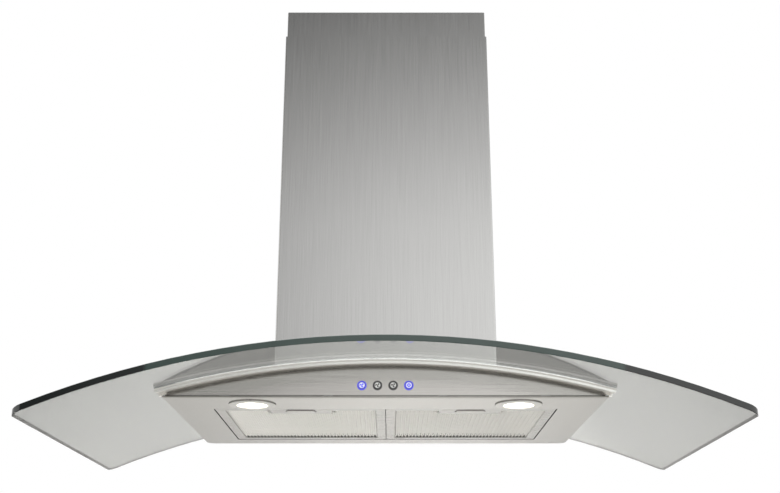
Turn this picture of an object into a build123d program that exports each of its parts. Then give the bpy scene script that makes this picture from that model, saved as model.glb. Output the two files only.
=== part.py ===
"""Chimney cooker hood with an arched glass canopy over a shallow stainless steel body.

The body hangs on the wall. Its underside holds two grease filters, two lamps and a
front panel with four push buttons. A short duct neck rises through the glass to a
double-inlet blower, which two telescoping chimney covers hide. All sizes are millimetres.

Frame: +X to the user's right, +Y towards the wall, +Z up. The origin lies on the wall
plane, in the middle of the hood, level with the flat underside of the body.
"""

import os
from math import asin, cos, degrees, pi, sin, sqrt, tan

from build123d import *

os.makedirs("parts", exist_ok=True)

# ------------------------------------------------------------------ driving dimensions

# Arched glass canopy.
canopy_width = 900.0
canopy_depth = 500.0
glass_thickness = 8.0
glass_wall_gap = 2.0
glass_corner_radius = 14.0
glass_arris = 0.7
arch_radius = 1152.0  # underside of the glass, bent about an axis parallel to Y

# Stainless steel body.
body_width = 584.0
body_depth = 388.0
sheet = 1.0
body_corner_radius = 14.0
body_side_height = 9.0  # underside of the glass above the underside of the body, at its sides
gasket_thickness = 2.0
gasket_width = 10.0
body_play = 0.2  # between parts that are laid in the body
bead_radius = 1.2  # rolled front edge of the underside
bead_drop = 0.6  # its middle, below the underside

# Chrome trim between the front panel and the glass.
trim_overhang = 7.0  # past each side of the body
trim_height = 6.2
trim_depth = 9.0  # behind the face of the panel
trim_reach = 18.0  # in front of the face of the panel
trim_wall = 1.6
trim_rail = 4.0  # solid rear edge, which rests on the body
trim_bead = 1.3
trim_gap = 0.2  # below the glass

# Front panel.
panel_shadow_gap = 1.2  # below the trim
panel_floor_gap = 1.6  # above the underside
panel_flange = 12.0
panel_tip = 0.6  # height left at each end

# Filter opening in the underside.
opening_side = 54.5  # from each side of the body
opening_front = 87.0  # from the front of the body
opening_back = 40.0  # from the back of the body
opening_corner = 3.0
opening_lip = 7.5

# Grease filters.
filter_side_gap = 1.5
filter_middle_gap = 1.0
filter_recess = 0.5
filter_thickness = 9.0
filter_rim = 13.0
filter_skin = 0.5
filter_pleat_pitch = 9.0
filter_swing = 60.0
tab_width = 24.0
tab_reach = 7.0
tab_inset = 32.0

# Filter latches.
latch_plate_width = 86.0
latch_plate_depth = 36.0
latch_wall = 0.8
latch_travel = 6.0
latch_reach = 4.0
latch_tongue_width = 30.0
latch_slider_width = 62.0
latch_slider_depth = 20.0
latch_sheet = 1.5
latch_play = 0.15
grip_width = 40.0
grip_depth = 11.0
grip_proud = 1.2
spring_radius = 2.2
spring_wire = 0.5
spring_turns = 5

# Lamps.
lamp_inset = 112.0  # from each side of the body
lamp_setback = 54.6  # from the front of the body
lamp_bezel_radius = 32.0
lamp_bezel_proud = 1.8
lamp_bezel_gap = 0.5  # shadow gap under the rim
lamp_collar_radius = 28.5
lamp_lens_radius = 21.0
lamp_can_height = 20.0
lamp_wall = 1.2

# Push buttons.
button_names = ("speed_1", "speed_2", "speed_3", "light")
button_spacing = 20.5
button_height = 14.5  # centre above the underside
button_radius = 5.0
button_proud = 2.4
button_travel = 1.5
button_clearance = 0.15
bezel_rim = 1.3
bezel_sleeve = 0.3
bezel_proud = 1.1

# Duct neck through the glass, and the blower box that stands on it.
neck_side_ledge = 14.0
neck_front_ledge = 16.0
neck_rise = 7.0  # above the glass
neck_height = 32.0
neck_seal = 3.0
box_height = 268.0
box_side_gap = 19.0  # to the outside of the chimney
box_front_gap = 22.0
box_wall_gap = 4.0

# Blower.
scroll_step = 12.0  # growth of the casing radius per quarter turn
scroll_width = 120.0
scroll_wall = 1.5
scroll_margin = 20.5  # to the front and the back of the blower box
scroll_lift = 31.5  # above the neck
wheel_clearance = 8.0
wheel_blade_depth = 14.0
wheel_width = 104.0
wheel_blades = 28
wheel_tilt = 25.0
inlet_inset = 18.0  # smaller than the wheel
motor_inset = 14.0  # smaller than the inlet
motor_length = 84.0
shaft_radius = 4.0
shaft_clearance = 0.06

# Duct collar and its flaps.
collar_radius = 74.5
collar_wall = 2.0
collar_flange = 9.0
collar_height = 45.0
collar_front = 91.0  # centre to the wall plane
flap_thickness = 1.2
flap_clearance = 1.0
flap_swing = 80.0
hinge_pin_radius = 2.0
hinge_clearance = 0.05
knuckle_wall = 1.3
knuckle_length = 18.0

# Chimney covers.
chimney_width = 320.0
chimney_depth = 262.0
chimney_top = 606.0
chimney_bend = 2.0
chimney_glass_gap = 0.8
chimney_flange = 12.0
cover_gap = 1.0
upper_show = 45.0  # length that shows above the outer cover
upper_height = 513.0
upper_lift = 360.0
upper_drop = 20.0

# Wall fixings.
wall_bolt_spacing = 200.0
wall_bolt_radius = 4.2
wall_bolt_drop = 25.0  # below the top of the blower box
bracket_bolt_spacing = 190.0
bracket_bolt_radius = 3.2
bracket_height = 30.0
bracket_sheet = 2.0
bracket_ear = 26.0
bracket_play = 0.2

# Cables inside the hood.
cable_radius = 3.0
cable_drop = 8.0  # below the duct neck
cable_run = 50.0  # level run before the cable turns up
bend_share = 0.45  # of the shorter run beside a bend, which the bend may use
lead_radius = 2.0

# ------------------------------------------------------------------------ derived places

front_y = -body_depth
glass_front_y = -canopy_depth
arch_centre_z = body_side_height - sqrt(arch_radius**2 - (body_width / 2) ** 2)
arch_height = arch_centre_z + arch_radius  # underside of the glass in the middle
opening_width = body_width - 2 * opening_side
opening_front_y = front_y + opening_front
opening_back_y = -opening_back
opening_depth = opening_back_y - opening_front_y
filter_width = (opening_width - 2 * filter_side_gap - filter_middle_gap) / 2
filter_depth = opening_depth - 2 * filter_side_gap
filter_x = (filter_width + filter_middle_gap) / 2
filter_front_y = opening_front_y + filter_side_gap
filter_back_y = filter_front_y + filter_depth
filter_top = filter_recess + filter_thickness
latch_y = filter_front_y + 15.5  # middle of the finger grip
lamp_x = body_width / 2 - lamp_inset
lamp_y = front_y + lamp_setback
bezel_radius = button_radius + bezel_rim
neck_top = round(arch_height + glass_thickness) + neck_rise
neck_bottom = neck_top - neck_height
box_width = chimney_width - 2 * box_side_gap
box_depth = chimney_depth - box_front_gap - box_wall_gap
box_back_y = -box_wall_gap
box_front_y = box_back_y - box_depth
box_top = neck_top + box_height
neck_x = box_width / 2 - neck_side_ledge
neck_y = (box_front_y + neck_front_ledge, box_back_y - neck_front_ledge)
scroll_start_radius = box_depth / 2 - 1.5 * scroll_step - scroll_wall - scroll_margin
wheel_radius = scroll_start_radius - wheel_clearance
inlet_radius = wheel_radius - inlet_inset
motor_radius = inlet_radius - motor_inset
wheel_y = box_back_y - scroll_margin - scroll_wall - 3 * scroll_step - scroll_start_radius
wheel_z = neck_top + scroll_lift + scroll_wall + scroll_step + scroll_start_radius
collar_y = -collar_front
collar_top = box_top + collar_height
trim_step = -(trim_gap + trim_height)
panel_step = trim_step - panel_shadow_gap
body_step = -gasket_thickness - sheet
upper_top = chimney_top + upper_show
wall_bolt_height = box_top - wall_bolt_drop
terminal_x = box_width / 2 - 28.0
terminal_y = box_front_y + 47.0
cable_low = neck_bottom - cable_drop


# -------------------------------------------------------------------------- small helpers


def arch_z(step, x):
    """Height of the surface that runs `step` above the glass underside, at x."""
    radius = arch_radius + step
    return arch_centre_z + sqrt(radius * radius - x * x)


def arch_x(step, z):
    """Half-width of that surface where it crosses height z."""
    radius = arch_radius + step
    return sqrt(radius * radius - (z - arch_centre_z) ** 2)


def block(x, y, z):
    """Box between three (low, high) pairs."""
    size = [high - low for low, high in (x, y, z)]
    centre = [(high + low) / 2 for low, high in (x, y, z)]
    return Pos(*centre) * Box(*size)


def rod(radius, low, high, along, at):
    """Cylinder from low to high along an axis letter, at the two other coordinates."""
    middle = (low + high) / 2
    length = high - low
    if along == "X":
        return Pos(middle, at[0], at[1]) * Rot(0, 90, 0) * Cylinder(radius, length)
    if along == "Y":
        return Pos(at[0], middle, at[1]) * Rot(90, 0, 0) * Cylinder(radius, length)
    return Pos(at[0], at[1], middle) * Cylinder(radius, length)


def ring(outer, inner, low, high, along, at):
    """Round tube: a rod with a concentric hole."""
    return rod(outer, low, high, along, at) - rod(inner, low, high, along, at)


def arch_slab(low_step, high_step, half_width, y_front, y_back):
    """Curved slab between two surfaces concentric with the glass underside."""

    def arc(step):
        ends = [(x, y_front, arch_z(step, x)) for x in (-half_width, half_width)]
        return Edge.make_three_point_arc(ends[0], (0, y_front, arch_z(step, 0)), ends[1])

    low, high = arc(low_step), arc(high_step)
    sides = [Edge.make_line(low @ t, high @ t) for t in (0, 1)]
    outline = Face(Wire([low, sides[1], high, sides[0]]))
    return extrude(outline, amount=y_back - y_front, dir=(0, 1, 0))


def under_arch(step, half_width, y_front, y_back):
    """Everything below a surface concentric with the glass underside."""
    return arch_slab(step - 400.0, step, half_width, y_front, y_back)


def arch_sweep(points, half_width):
    """Section of (y, step) points carried along the arch to +-half_width."""
    section = Polyline(*[(0, y, arch_height + step) for y, step in points], close=True)
    turn = degrees(asin(half_width / arch_radius))
    axis = Axis((0, 0, arch_centre_z), (0, 1, 0))
    start = make_face(section).rotate(axis, -turn)
    return revolve(start, axis=axis, revolution_arc=2 * turn)


def upright(shape, radius, where=lambda edge: True):
    """Fillet of the edges that run along Z."""
    chosen = [e for e in shape.edges().filter_by(Axis.Z) if where(e)]
    return fillet(chosen, radius)


def save(name, *solids):
    """Writes one node; several solids make a group of separate pieces."""
    shape = solids[0] if len(solids) == 1 else Compound(children=list(solids))
    export_step(shape, f"parts/{name}.step")


# ------------------------------------------------------------------- glass and its seals

glass_screw_places = [
    (side * (neck_x + 23.0), y) for side in (-1, 1) for y in (neck_y[0] + 24.0, neck_y[1] - 35.0)
]
glass_screw_radius = 2.5
glass_hole_radius = 4.0


def glass_canopy():
    slab = arch_slab(0, glass_thickness, canopy_width / 2, glass_front_y, -glass_wall_gap)
    slab = upright(slab, glass_corner_radius)
    outline = slab.edges() - slab.edges().filter_by(Axis.Z)
    slab = chamfer(outline, glass_arris)
    reach = neck_seal
    cut = block(
        (-neck_x - reach, neck_x + reach), (neck_y[0] - reach, neck_y[1] + reach), (0, 100)
    )
    slab -= upright(cut, glass_corner_radius)
    for x, y in glass_screw_places:
        slab -= rod(glass_hole_radius, 0, 100, "Z", (x, y))
    return slab


def glass_gasket():
    half = body_width / 2 - body_play
    y = (front_y + trim_depth, -glass_wall_gap)
    strip = arch_slab(-gasket_thickness, 0, half, *y)
    inner = half - gasket_width
    return strip - block(
        (-inner, inner), (y[0] + gasket_width, y[1] - gasket_width), (-50, 100)
    )


def neck_seal_frame():
    """Rubber frame that fills the gap between the duct neck and the edge of the glass."""
    outer = upright(
        block(
            (-neck_x - neck_seal, neck_x + neck_seal),
            (neck_y[0] - neck_seal, neck_y[1] + neck_seal),
            (arch_z(0, neck_x) - 1.0, arch_height + glass_thickness + 1.0),
        ),
        glass_corner_radius,
    )
    frame = outer - upright(block((-neck_x, neck_x), neck_y, (0, 100)), glass_corner_radius)
    above_plate = arch_slab(-gasket_thickness, 60, body_width / 2, front_y, 0)
    return frame & above_plate


def glass_screws():
    """Pan-head screws with washers and nuts, which clamp the glass to the body."""
    screws = []
    for x, y in glass_screw_places:
        top = arch_z(glass_thickness, abs(x) - 7.0) + 0.02
        bottom = arch_z(body_step, abs(x) + 5.0) - 0.02
        washer = rod(7.0, top, top + 1.2, "Z", (x, y))
        head = rod(4.5, top + 1.2, top + 4.0, "Z", (x, y))
        head -= rod(1.6, top + 2.2, top + 4.0, "Z", (x, y))
        shank = rod(glass_screw_radius, bottom - 7.0, top + 1.2, "Z", (x, y))
        nut = Pos(x, y, bottom - 4.0) * extrude(RegularPolygon(4.6, 6), 4.0)
        screws.append(washer + head + shank + nut)
    return screws


# ---------------------------------------------------------------------------- steel body


def body_outline(inset, z):
    """Plan of the body, moved in by `inset` at the sides and the back."""
    half = body_width / 2 - inset
    shape = block((-half, half), (front_y, -inset), z)
    return upright(shape, body_corner_radius - inset, lambda e: e.center().Y > front_y / 2)


def bottom_tray():
    """Underside sheet with upturned sides and back, a rolled front edge and its openings."""
    outer = body_outline(0, (0, 60))
    inner = body_outline(sheet, (sheet, 60))
    inner += block(
        (-body_width / 2 + sheet, body_width / 2 - sheet), (front_y - 5, front_y + 30), (sheet, 60)
    )
    tray = (outer - inner) & under_arch(body_step, body_width / 2 + 5, front_y - 5, 5)
    half = opening_width / 2
    hole = block((-half, half), (opening_front_y, opening_back_y), (-1, sheet + 1))
    tray -= upright(hole, opening_corner)
    for side in (-1, 1):
        lip_x = sorted((side * half, side * (half + sheet)))
        lip_y = (opening_front_y + 6, opening_back_y - 6)
        tray += block(lip_x, lip_y, (sheet / 2, sheet + opening_lip))
        tray -= rod(lamp_collar_radius + body_play, -1, 5, "Z", lamp_centre(side))
    tray -= arch_slab(
        trim_step - sheet, 50, body_width, front_y - 5, front_y + trim_depth + 1.0 + sheet
    )
    half = body_width / 2
    bead_y = front_y + bead_radius
    tray -= block((-half - 1, half + 1), (front_y - 1, bead_y), (-1, 2 * sheet))
    bead = rod(bead_radius, -half, half, "X", (bead_y, -bead_drop))
    return tray + fillet(bead.edges().filter_by(GeomType.CIRCLE), bead_radius / 2)


def body_top():
    """Arched top sheet with a hole for the duct neck and a stepped front under the trim."""
    web_y = front_y + trim_depth + 1.0
    half = body_width / 2 + 5.0
    top = arch_slab(body_step, -gasket_thickness, half, web_y, 5)
    top += arch_slab(trim_step - sheet, -gasket_thickness, half, web_y, web_y + sheet)
    ledge_y = front_y + trim_depth - trim_rail
    top += arch_slab(trim_step - sheet, trim_step, half, ledge_y, web_y + sheet)
    top &= body_outline(0, (-50, 100))
    top -= upright(block((-neck_x, neck_x), neck_y, (-50, 100)), glass_corner_radius)
    for x, place_y in glass_screw_places:
        top -= rod(glass_screw_radius + body_play, -50, 100, "Z", (x, place_y))
    return top


def air_neck():
    """Rectangular duct stub with a flange that carries the blower box."""
    z = (neck_bottom, neck_top - sheet)
    neck = upright(block((-neck_x, neck_x), neck_y, z), glass_corner_radius)
    flange = block(
        (-box_width / 2, box_width / 2), (box_front_y, box_back_y), (neck_top - sheet, neck_top)
    )
    hollow = block(
        (-neck_x + sheet, neck_x - sheet), (neck_y[0] + sheet, neck_y[1] - sheet), (0, 100)
    )
    return neck + flange - upright(hollow, glass_corner_radius - sheet)


def trim_strip():
    """Chrome channel with a rounded bead, bent to the arch, open below the glass."""
    top = -trim_gap
    front = front_y - trim_reach
    bead = [
        (front - trim_bead * sin(pi * i / 8), top - trim_bead * (1 - cos(pi * i / 8)))
        for i in range(9)
    ]
    groove = top - 2 * trim_bead
    points = bead + [
        (front + 0.6, groove - 0.1),
        (front + 0.6, groove - 0.6),
        (front - 0.2, groove - 0.9),
        (front - 0.2, trim_step + 0.4),
        (front + 0.2, trim_step),
        (front + trim_wall, trim_step),
        (front + trim_wall, top - trim_wall),
        (front_y + trim_depth - trim_rail, top - trim_wall),
        (front_y + trim_depth - trim_rail, trim_step),
        (front_y + trim_depth, trim_step),
        (front_y + trim_depth, top),
    ]
    return arch_sweep(points, body_width / 2 + trim_overhang)


def button_x(index):
    return (index - (len(button_names) - 1) / 2) * button_spacing


def front_panel():
    """Front panel: a circular segment of sheet with folded top and bottom flanges."""
    low = panel_floor_gap
    half = arch_x(panel_step, low + panel_tip)
    face = block((-half, half), (front_y, front_y + sheet), (low, 60))
    face &= under_arch(panel_step, body_width / 2, front_y - 1, front_y + panel_flange)
    bottom = block((-half, half), (front_y, front_y + panel_flange), (low, low + sheet))
    bottom &= under_arch(panel_step, body_width / 2, front_y - 1, front_y + 30)
    top = arch_slab(panel_step - sheet, panel_step, half - 8.0, front_y, front_y + panel_flange)
    top -= block((-half, half), (front_y - 1, front_y + 30), (-50, low))
    panel = face + bottom + top
    for i in range(len(button_names)):
        hole = button_radius + button_clearance + bezel_sleeve
        panel -= rod(hole, front_y - 1, front_y + 5, "Y", (button_x(i), button_height))
    return panel


# ------------------------------------------------------------------------ grease filters


def filter_frame(side):
    """Folded channel frame with rear hooks, a latch plate and a closed latch pocket."""
    x0 = side * filter_x
    half = filter_width / 2
    rim = filter_rim
    z = (filter_recess, filter_top)
    y = (filter_front_y, filter_back_y)
    frame = upright(block((x0 - half, x0 + half), y, z), 2.0)
    frame -= block(
        (x0 - half + sheet, x0 + half - sheet),
        (y[0] + sheet, y[1] - sheet),
        (z[0] + sheet, z[1] - sheet),
    )
    frame -= block((x0 - half + rim, x0 + half - rim), (y[0] + rim, y[1] - rim), (-5, 20))
    plate_x = (x0 - latch_plate_width / 2, x0 + latch_plate_width / 2)
    plate_y = (y[0], y[0] + latch_plate_depth)
    frame += block(plate_x, plate_y, z)
    frame -= block(
        (plate_x[0] + latch_wall, plate_x[1] - latch_wall),
        (y[0] + sheet, plate_y[1] - latch_wall),
        (z[0] + sheet, z[1] - latch_wall),
    )
    slot_half = grip_width / 2 + 1.5
    slot_y = (latch_y - grip_depth / 2 - 1.0, latch_y + grip_depth / 2 + latch_travel + 1.0)
    slot = block((x0 - slot_half, x0 + slot_half), slot_y, (-1, z[0] + sheet))
    frame -= upright(slot, (slot_y[1] - slot_y[0]) / 2 - 0.5)
    tongue = latch_tongue_width / 2 + 0.5
    tongue_z = (z[0] + sheet, z[0] + sheet + latch_sheet + 2 * latch_play)
    frame -= block((x0 - tongue, x0 + tongue), (y[0] - 1, y[0] + sheet), tongue_z)
    for tab_x in (x0 - half + tab_inset, x0 + half - tab_inset):
        tab_z = (sheet + 0.3, sheet + 1.3)
        frame += block(
            (tab_x - tab_width / 2, tab_x + tab_width / 2), (y[1] - sheet, y[1] + tab_reach), tab_z
        )
    return frame


def filter_mesh(side):
    """Grease mesh pack: two aluminium skins over a pleated core."""
    x0 = side * filter_x
    half = filter_width / 2 - sheet - 0.1
    y = (filter_front_y + sheet + 0.1, filter_back_y - sheet - 0.1)
    low = filter_recess + sheet
    high = filter_top - sheet
    skins = [
        block((x0 - half, x0 + half), y, (low, low + filter_skin)),
        block((x0 - half, x0 + half), y, (high - filter_skin, high)),
    ]
    count = int(2 * half / filter_pleat_pitch)
    pitch = 2 * half / count
    core_z = (low + filter_skin - 0.1, high - filter_skin * 2.5 + 0.1)
    ridge = [
        (x0 - half + pitch * i / 2, core_z[i % 2]) for i in range(2 * count + 1)
    ]
    lower = [(x, y[0], z) for x, z in ridge]
    upper = [(x, y[0], z + filter_skin * 1.5) for x, z in reversed(ridge)]
    core = extrude(make_face(Polyline(*lower, *upper, close=True)), y[1] - y[0], dir=(0, 1, 0))
    wide = latch_plate_width / 2 + 0.1
    pocket = block(
        (x0 - wide, x0 + wide), (y[0] - 1, filter_front_y + latch_plate_depth + 0.1), (-5, 20)
    )
    pack = [piece - pocket for piece in (*skins, core)]
    return pack[0] + pack[1] + pack[2]


def latch_slider(side):
    """Spring-loaded slide with a front tongue and an oval finger grip."""
    x0 = side * filter_x
    low = filter_recess + sheet + latch_play
    z = (low, low + latch_sheet)
    back = filter_front_y + sheet + latch_play + latch_slider_depth
    slider = block(
        (x0 - latch_slider_width / 2, x0 + latch_slider_width / 2),
        (back - latch_slider_depth, back),
        z,
    )
    tongue_half = latch_tongue_width / 2
    tip = opening_front_y - latch_reach
    slider += block((x0 - tongue_half, x0 + tongue_half), (tip, back), z)
    grip = block(
        (x0 - grip_width / 2, x0 + grip_width / 2),
        (latch_y - grip_depth / 2, latch_y + grip_depth / 2),
        (-grip_proud, z[0] + 0.2),
    )
    grip = upright(grip, grip_depth / 2 - 0.1)
    rim_edges = grip.faces().sort_by(Axis.Z)[0].edges()
    grip = fillet(rim_edges, 0.5)
    post = block((x0 - 6, x0 + 6), (back - 3, back), (z[1] - 0.2, z[1] + 3.6))
    return slider + grip + post


def latch_spring(side):
    """Coil spring between the latch slide and the back of its pocket."""
    x0 = side * filter_x
    back = filter_front_y + sheet + latch_play + latch_slider_depth
    wall = filter_front_y + latch_plate_depth - latch_wall
    clear = spring_wire / 2 + 0.15
    length = wall - back - 2 * clear
    coil = Helix(length / spring_turns, length, spring_radius)
    section = Plane(coil @ 0, z_dir=coil % 0) * Circle(spring_wire / 2)
    wire = sweep(section, path=coil, is_frenet=True)
    height = filter_recess + sheet + latch_play + latch_sheet + 2.6
    return Pos(x0, back + clear, height) * Rot(-90, 0, 0) * wire


# --------------------------------------------------------------------------------- lamps


def lamp_centre(side):
    return (side * lamp_x, lamp_y)


def lamp_bezel(side):
    """Ring with a rounded rim, which stands off the underside by a shadow gap."""
    at = lamp_centre(side)
    rim = rod(lamp_bezel_radius, -lamp_bezel_proud, -lamp_bezel_gap, "Z", at)
    rim = fillet(rim.faces().sort_by(Axis.Z)[0].edges(), (lamp_bezel_proud - lamp_bezel_gap) * 0.6)
    bezel = rim + rod(lamp_bezel_radius - 1.4, -lamp_bezel_gap, 0, "Z", at)
    bezel += rod(lamp_collar_radius, 0, 8, "Z", at)
    bezel -= rod(lamp_lens_radius, -5, 20, "Z", at)
    bezel -= rod(lamp_lens_radius + lamp_wall, 1.0, 20, "Z", at)
    return bezel - rod(lamp_collar_radius - lamp_wall, 3.0, 20, "Z", at)


def lamp_lens(side):
    """Frosted glass disc with a shoulder that rests in the bezel."""
    at = lamp_centre(side)
    disc = rod(lamp_lens_radius - body_play, -lamp_bezel_proud * 0.5, 1.2, "Z", at)
    return disc + rod(lamp_lens_radius + lamp_wall - body_play, 1.0, 3.0, "Z", at)


def lamp_can(side):
    """Lamp housing on the bezel collar, with a skirt that holds the lens down."""
    at = lamp_centre(side)
    outer = lamp_collar_radius
    skirt = lamp_lens_radius + lamp_wall - body_play
    can = rod(outer, 8, lamp_can_height, "Z", at)
    can -= rod(outer - lamp_wall, 9, lamp_can_height - lamp_wall, "Z", at)
    can += rod(skirt, 3, 8.5, "Z", at)
    return can - rod(skirt - 2.0, 0, 12, "Z", at)


def lamp_board(side):
    """Round circuit board with a ring of light-emitting diodes."""
    at = lamp_centre(side)
    board = rod(lamp_collar_radius - lamp_wall, 15.0, 16.6, "Z", at)
    for i in range(9):
        angle = 2 * pi * i / 9
        x, y = at[0] + 15 * cos(angle), at[1] + 15 * sin(angle)
        board += block((x - 1.6, x + 1.6), (y - 1.6, y + 1.6), (14.0, 15.1))
    return board + block((at[0] - 9, at[0] + 9), (at[1] - 4, at[1] + 4), (16.5, 18.4))


# ----------------------------------------------------------------- buttons and their board

switch_face_y = front_y + 9.0
board_y = (front_y + 13.0, front_y + 14.6)
board_half_width = 56.0
header_y = board_y[1] + 6.0
header_z = 16.0
control_header_x = 16.0
lamp_header_x = 46.0


def button_bezel(i):
    at = (button_x(i), button_height)
    inner = button_radius + button_clearance
    flange = rod(bezel_radius, front_y - bezel_proud, front_y, "Y", at)
    flange = fillet(flange.faces().sort_by(Axis.Y)[0].edges(), bezel_proud * 0.6)
    sleeve = rod(inner + bezel_sleeve, front_y, front_y + 2.2, "Y", at)
    return flange + sleeve - rod(inner, front_y - 9, front_y + 9, "Y", at)


def button(i):
    """Push button: dished cap, retaining flange and stem."""
    at = (button_x(i), button_height)
    face = front_y - button_proud
    cap = rod(button_radius, face, front_y + 3.4, "Y", at)
    cap = fillet(cap.faces().sort_by(Axis.Y)[0].edges(), 0.6)
    cap -= rod(button_radius - 1.3, face - 1, face + 0.35, "Y", at)
    flange = rod(button_radius + 1.0, front_y + 2.6, front_y + 3.6, "Y", at)
    stem = rod(2.0, front_y + 3.5, switch_face_y - button_travel - 0.3, "Y", at)
    return cap + flange + stem


def switch(i):
    at = (button_x(i), button_height)
    y = (switch_face_y, board_y[0])
    body = block((at[0] - 4, at[0] + 4), (y[0] + 1, y[1]), (at[1] - 4, at[1] + 4))
    return body + rod(1.8, y[0], y[0] + 1.2, "Y", at)


def control_board():
    """Circuit board behind the panel, with its processor and a cable header."""
    z = (panel_floor_gap + sheet + 1.2, 28.0)
    board = block((-board_half_width, board_half_width), board_y, z)
    board += block((-16, -4), (board_y[1], board_y[1] + 1.6), (10, 20))
    for x in (-lamp_header_x, control_header_x, lamp_header_x):
        board += block((x - 6, x + 6), (board_y[1], header_y), (header_z - 4, header_z + 4))
    return board


def board_clips():
    """Two clips that hold the control board to the bottom flange of the panel."""
    clips = []
    flange_top = panel_floor_gap + sheet
    for side in (-1, 1):
        x = side * (board_half_width - 8)
        foot = block((x - 5, x + 5), (front_y + 3, front_y + 18), (flange_top, flange_top + 1.2))
        foot += block((x - 5, x + 5), (board_y[1], board_y[1] + 1.2), (flange_top, 11.5))
        clips.append(foot)
    return clips


def panel_spacers():
    """Pads that carry the panel above the tray."""
    y = (front_y + 5, front_y + 11)
    return [block((x - 6, x + 6), y, (sheet, panel_floor_gap)) for x in (-210, -75, 75, 210)]


# -------------------------------------------------------------------------------- blower


def blower_box():
    """Galvanised box, open below, that carries the scroll, the collar and the wall bolts."""
    half = box_width / 2
    y = (box_front_y, box_back_y)
    box = block((-half, half), y, (neck_top, box_top))
    box -= block(
        (-half + sheet, half - sheet), (y[0] + sheet, y[1] - sheet), (neck_top - 1, box_top - sheet)
    )
    box -= rod(collar_radius - collar_wall, box_top - 5, box_top + 5, "Z", (0, collar_y))
    for side in (-1, 1):
        bolt = (side * wall_bolt_spacing / 2, wall_bolt_height)
        box -= rod(wall_bolt_radius, y[1] - 5, y[1] + 5, "Y", bolt)
    for at, radius in cable_holes:
        box -= rod(radius + 1.5, box_top - 5, box_top + 5, "Z", at)
    return box


def hanger_plate():
    """Plate that spaces the blower box off the wall and takes its two bolts."""
    half = wall_bolt_spacing / 2 + 18.0
    plate = block((-half, half), (box_back_y, 0), (wall_bolt_height - 20, wall_bolt_height + 20))
    for side in (-1, 1):
        bolt = (side * wall_bolt_spacing / 2, wall_bolt_height)
        plate -= rod(wall_bolt_radius, box_back_y - 5, 5, "Y", bolt)
    return plate


def scroll_outline(grow):
    """Side profile of the casing: three quarter arcs, each a step larger, and an outlet."""
    r = scroll_start_radius + grow
    a = scroll_step
    top = box_top - sheet - wheel_z
    x = -scroll_width / 2
    c = sqrt(0.5)

    def at(y, z):
        return (x, wheel_y + y, wheel_z + z)

    start = sqrt(r * r - grow * grow)
    first = Edge.make_three_point_arc(at(-grow, start), at(-r * c, r * c), at(-r, 0))
    second = Edge.make_three_point_arc(
        at(-r, 0), at(a - (r + a) * c, -(r + a) * c), at(a, -(r + a))
    )
    third = Edge.make_three_point_arc(
        at(a, -(r + a)), at(a + (r + 2 * a) * c, a - (r + 2 * a) * c), at(r + 3 * a, a)
    )
    back = Edge.make_line(at(r + 3 * a, a), at(r + 3 * a, top))
    mouth = Edge.make_line(at(r + 3 * a, top), at(-grow, top))
    throat = Edge.make_line(at(-grow, top), at(-grow, start))
    return Face(Wire([first, second, third, back, mouth, throat]))


def scroll_housing():
    """Double-inlet blower casing."""
    outer = extrude(scroll_outline(scroll_wall), scroll_width, dir=(1, 0, 0))
    inner = extrude(scroll_outline(0), scroll_width - 2 * scroll_wall, dir=(1, 0, 0))
    casing = outer - Pos(scroll_wall, 0, 0) * inner
    half = scroll_width / 2
    return casing - rod(inlet_radius, -half - 5, half + 5, "X", (wheel_y, wheel_z))


def impeller():
    """Fan wheel: a hub disc between two rings of forward-curved blades."""
    at = (wheel_y, wheel_z)
    half = wheel_width / 2
    wheel = rod(wheel_radius, -1, 1, "X", at)
    wheel += rod(13.0, -14, 4, "X", at)
    blade_mid = wheel_radius - wheel_blade_depth / 2
    for i in range(wheel_blades):
        blade = Rot(360 * i / wheel_blades, 0, 0) * (
            Pos(0, 0, blade_mid - 0.8) * Rot(wheel_tilt, 0, 0) * Box(wheel_width, 1.2, wheel_blade_depth)
        )
        wheel += Pos(0, *at) * blade
    for end in (-half, half - 2):
        wheel += ring(wheel_radius, wheel_radius - 5, end, end + 2, "X", at)
    return wheel - rod(shaft_radius, -half, half, "X", at)


def motor_shaft():
    return rod(shaft_radius, -18, 40, "X", (wheel_y, wheel_z))


motor_x = 8.0


def motor():
    """Motor with a finned middle and rounded end bells, bored for its shaft."""
    at = (wheel_y, wheel_z)
    end = motor_x + motor_length
    body = rod(motor_radius, motor_x, end, "X", at)
    body = fillet(body.edges().filter_by(GeomType.CIRCLE), 6.0)
    for i in range(6):
        start = motor_x + 16 + 9 * i
        body -= ring(motor_radius + 1, motor_radius - 2, start, start + 3, "X", at)
    return body - rod(shaft_radius + shaft_clearance, motor_x - 1, 41, "X", at)


def motor_bracket():
    """Three-armed bracket from the right inlet to a clamp ring round the motor."""
    at = (wheel_y, wheel_z)
    x = (scroll_width / 2, scroll_width / 2 + 3)
    bracket = ring(inlet_radius + 8, inlet_radius, *x, "X", at)
    bracket += ring(motor_radius + 4, motor_radius, x[0], x[0] + 14, "X", at)
    for i in range(3):
        arm = Rot(120 * i, 0, 0) * Pos(x[0] + 1.5, 0, (motor_radius + inlet_radius + 4) / 2) * Box(
            3, 12, inlet_radius - motor_radius + 2
        )
        bracket += Pos(0, *at) * arm
    return bracket


def outlet_collar():
    """Round duct collar with a flange, a ledge under the flaps and holes for their pin."""
    at = (0, collar_y)
    inner = collar_radius - collar_wall
    collar = ring(collar_radius, inner, box_top, collar_top, "Z", at)
    collar += ring(collar_radius + collar_flange, inner, box_top, box_top + 2, "Z", at)
    ledge_top = flap_z - flap_thickness - 0.3
    collar += ring(inner + 0.5, inner - 3.5, ledge_top - 1.5, ledge_top, "Z", at)
    return collar - rod(hinge_pin_radius, -100, 100, "X", (collar_y, flap_z))


flap_z = box_top + 8.0


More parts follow.
